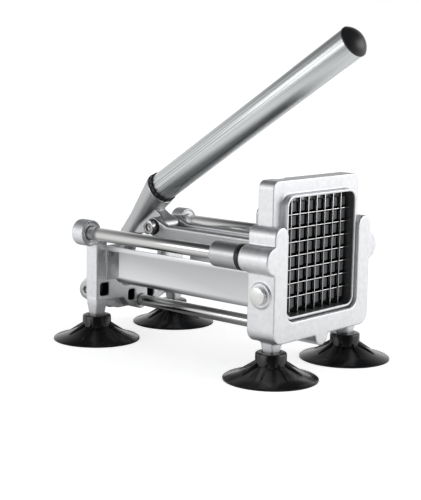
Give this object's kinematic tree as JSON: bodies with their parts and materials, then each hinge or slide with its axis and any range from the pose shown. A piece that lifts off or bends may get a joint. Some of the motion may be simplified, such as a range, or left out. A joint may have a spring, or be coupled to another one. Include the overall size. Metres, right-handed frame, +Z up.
{
  "type": "french fry cutter",
  "caption": "Hand-lever fry cutter on suction cups: a handle drives a link and a finger block along two rods through a lift-out blade cassette.",
  "frame": {"origin": "on the counter, under the middle of the object's box", "axes": "+X towards the blade outlet, +Y to the far side of the guide rods, +Z up"},
  "size_m": [0.2468, 0.1524, 0.2384],
  "materials": {
    "cast_frame": "satin cast aluminium",
    "cast_lever": "polished cast aluminium",
    "cassette": "satin cast aluminium",
    "rod_steel": "polished",
    "sheet_steel": "brushed sheet",
    "handle_steel": "brushed tube",
    "blade_steel": "thin bright strip",
    "fastener_steel": "turned and plated",
    "bush_bronze": "sintered",
    "black_plastic": "moulded",
    "block_plastic": "moulded",
    "cup_rubber": "glossy moulded"
  },
  "bodies": {
    "frame": {"front_frame": "cast_frame", "rear_frame": "cast_frame", "guide_rod_near": "rod_steel", "guide_rod_far": "rod_steel", "tie_rod": "rod_steel", "rod_end_screws": "fastener_steel", "bumper_ring_near": "black_plastic", "bumper_ring_far": "black_plastic", "tray": "sheet_steel", "tray_screws": "fastener_steel", "suction_cup_front_near": "cup_rubber", "suction_cup_front_far": "cup_rubber", "suction_cup_rear_near": "cup_rubber", "suction_cup_rear_far": "cup_rubber", "cup_studs": "fastener_steel", "pivot_bolt": "fastener_steel", "pivot_nut": "fastener_steel", "detent_plug": "fastener_steel", "detent_spring": "fastener_steel", "detent_ball": "fastener_steel", "cassette_frame": "cassette", "blades_upright": "blade_steel", "blades_level": "blade_steel"},
    "lever": {"lever_arm": "cast_lever", "pivot_bushes": "bush_bronze", "handle_tube": "handle_steel", "handle_collar": "black_plastic", "handle_cap": "black_plastic"},
    "link": {"link": "cast_lever", "link_pin": "fastener_steel", "link_pin_washers": "black_plastic", "link_pin_nut": "fastener_steel", "link_front_pins": "fastener_steel"},
    "pusher": {"pusher_carriage": "cast_lever", "slide_bushes": "black_plastic", "lug_pin": "fastener_steel", "finger_block": "block_plastic", "block_screws": "fastener_steel"}
  },
  "joints": [
    {"name": "lever_hinge", "type": "hinge", "parent": "frame", "child": "lever", "pos_m": [-0.1146, 0, 0.032], "axis": [0, -1, 0], "range_deg": [0, 75]},
    {"name": "link_hinge", "type": "hinge", "parent": "lever", "child": "link", "pos_m": [-0.0546, 0, 0.0875], "axis": [0, -1, 0], "range_deg": [-84.42, 0]},
    {"name": "pusher_slide", "type": "slide", "parent": "frame", "child": "pusher", "axis": [1, 0, 0], "range_m": [-0.10015, 0]}
  ],
  "couplings": [
    {"joint": "link_hinge", "follows": "lever_hinge", "ratio": -1.125},
    {"joint": "pusher_slide", "follows": "lever_hinge", "m_per_rad": -0.07648}
  ]
}
